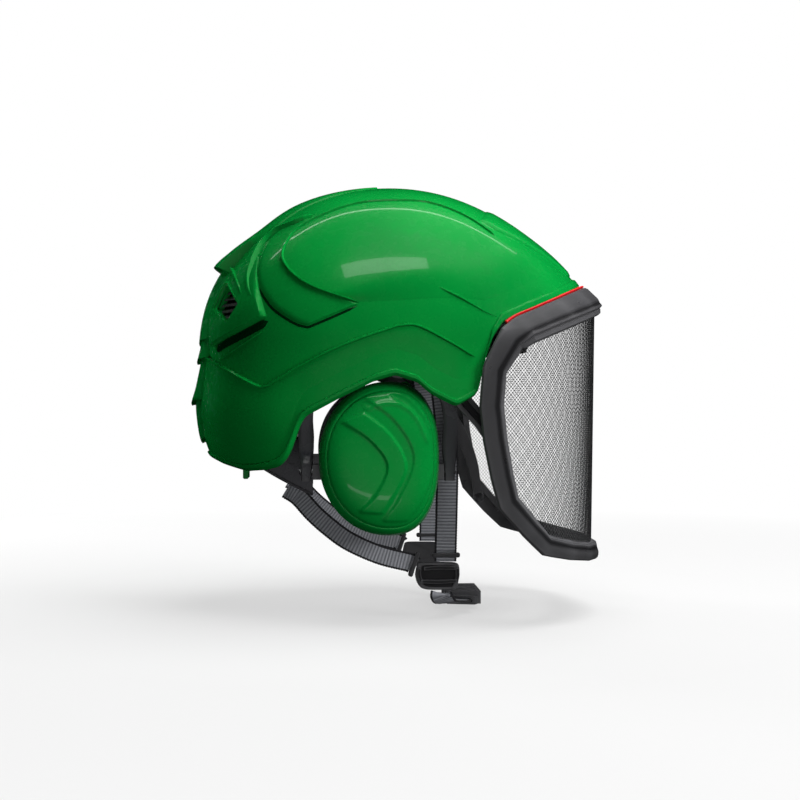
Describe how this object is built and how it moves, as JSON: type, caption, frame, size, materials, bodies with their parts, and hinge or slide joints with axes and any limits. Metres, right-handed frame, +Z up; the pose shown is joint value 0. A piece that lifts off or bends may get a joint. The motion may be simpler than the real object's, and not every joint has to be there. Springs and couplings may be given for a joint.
{
  "type": "arborist helmet",
  "caption": "Vented climbing helmet with a swing-up wire mesh face visor, swing-out ear muffs on hoops, a nape cradle with a tightening knob and a buckled chin strap.",
  "frame": {"origin": "underside of the crown pad on the middle plane, where the top of the wearer's head bears", "axes": "+X forward through the visor, +Y to the wearer's left, +Z up"},
  "size_m": [0.2904, 0.2306, 0.2957],
  "materials": {
    "shell_green": "glossy, moulded",
    "cup_green": "satin, moulded",
    "black_plastic": "fine moulded texture",
    "liner_foam": "closed-cell foam",
    "pad_fabric": "knitted, lightly napped",
    "cushion_skin": "soft, leather-grained",
    "webbing": "ribbed weave",
    "steel": "brushed",
    "wire_mesh": "etched wire mesh",
    "seal_rubber": "matte"
  },
  "bodies": {
    "helmet": {"outer_shell": "shell_green", "crown_vent_cover": "shell_green", "rear_spine_cover": "shell_green", "headlamp_hook": "shell_green", "inner_liner": "liner_foam", "crown_pad": "pad_fabric", "brow_pad": "pad_fabric", "headband": "black_plastic", "buckle_socket": "black_plastic", "strap_keeper": "black_plastic", "side_pad_right": "pad_fabric", "side_pad_left": "pad_fabric", "side_bracket_right": "black_plastic", "side_bracket_left": "black_plastic", "visor_pivot_pin_right": "steel", "visor_pivot_pin_left": "steel", "muff_pivot_pin_right": "steel", "muff_pivot_pin_left": "steel", "front_strap_right": "webbing", "front_strap_left": "webbing", "rear_strap_right": "webbing", "rear_strap_left": "webbing", "strap_divider_right": "black_plastic", "strap_divider_left": "black_plastic", "chin_strap_right": "webbing"},
    "visor": {"visor_frame": "black_plastic", "visor_mesh": "wire_mesh", "mesh_retainer": "black_plastic", "visor_edge_seal": "seal_rubber", "visor_arm_right": "black_plastic", "visor_arm_left": "black_plastic", "visor_arm_rivet_right": "steel", "visor_arm_rivet_left": "steel"},
    "nape_adjuster": {"nape_cradle": "black_plastic", "nape_pad": "pad_fabric", "knob_housing": "black_plastic"},
    "nape_knob": {"nape_knob": "black_plastic", "knob_pinion": "steel"},
    "buckle_plug": {"buckle_plug": "black_plastic", "chin_strap_left": "webbing"},
    "muff_lever_right": {"muff_lever_right": "black_plastic", "muff_hinge_pin_right": "steel"},
    "muff_hoop_right": {"muff_hoop_right": "black_plastic", "cup_pin_front_right": "steel", "cup_pin_rear_right": "steel"},
    "ear_cup_right": {"muff_cup_right": "cup_green", "muff_foam_right": "liner_foam", "muff_plate_right": "black_plastic", "muff_cushion_right": "cushion_skin"},
    "muff_lever_left": {"muff_lever_left": "black_plastic", "muff_hinge_pin_left": "steel"},
    "muff_hoop_left": {"muff_hoop_left": "black_plastic", "cup_pin_front_left": "steel", "cup_pin_rear_left": "steel"},
    "ear_cup_left": {"muff_cup_left": "cup_green", "muff_foam_left": "liner_foam", "muff_plate_left": "black_plastic", "muff_cushion_left": "cushion_skin"}
  },
  "joints": [
    {"name": "visor_raise", "type": "hinge", "parent": "helmet", "child": "visor", "pos_m": [0, 0, -0.077], "axis": [0, -1, 0], "range_deg": [0, 43]},
    {"name": "nape_slide", "type": "slide", "parent": "helmet", "child": "nape_adjuster", "axis": [1, 0, 0], "range_m": [0, 0.008]},
    {"name": "nape_knob_turn", "type": "hinge", "parent": "nape_adjuster", "child": "nape_knob", "pos_m": [-0.1186, 0, -0.13], "axis": [-1, 0, 0], "range_deg": [0, 118]},
    {"name": "buckle_release", "type": "slide", "parent": "helmet", "child": "buckle_plug", "axis": [0, 1, 0], "range_m": [0, 0.016]},
    {"name": "muff_float_right", "type": "hinge", "parent": "helmet", "child": "muff_lever_right", "pos_m": [-0.026, -0.0971, -0.062], "axis": [0, 1, 0], "range_deg": [0, 2.5]},
    {"name": "muff_swing_right", "type": "hinge", "parent": "muff_lever_right", "child": "muff_hoop_right", "pos_m": [-0.026, -0.0971, -0.08], "axis": [-1, 0, 0], "range_deg": [0, 11]},
    {"name": "cup_tilt_right", "type": "hinge", "parent": "muff_hoop_right", "child": "ear_cup_right", "pos_m": [-0.0197, -0.0855, -0.157], "axis": [-1, 0, 0], "range_deg": [-6, 6]},
    {"name": "muff_float_left", "type": "hinge", "parent": "helmet", "child": "muff_lever_left", "pos_m": [-0.026, 0.0971, -0.062], "axis": [0, 1, 0], "range_deg": [0, 2.5]},
    {"name": "muff_swing_left", "type": "hinge", "parent": "muff_lever_left", "child": "muff_hoop_left", "pos_m": [-0.026, 0.0971, -0.08], "axis": [1, 0, 0], "range_deg": [0, 11]},
    {"name": "cup_tilt_left", "type": "hinge", "parent": "muff_hoop_left", "child": "ear_cup_left", "pos_m": [-0.0197, 0.0855, -0.157], "axis": [1, 0, 0], "range_deg": [-6, 6]}
  ],
  "couplings": [
    {"joint": "nape_knob_turn", "follows": "nape_slide", "rad_per_m": 250}
  ]
}
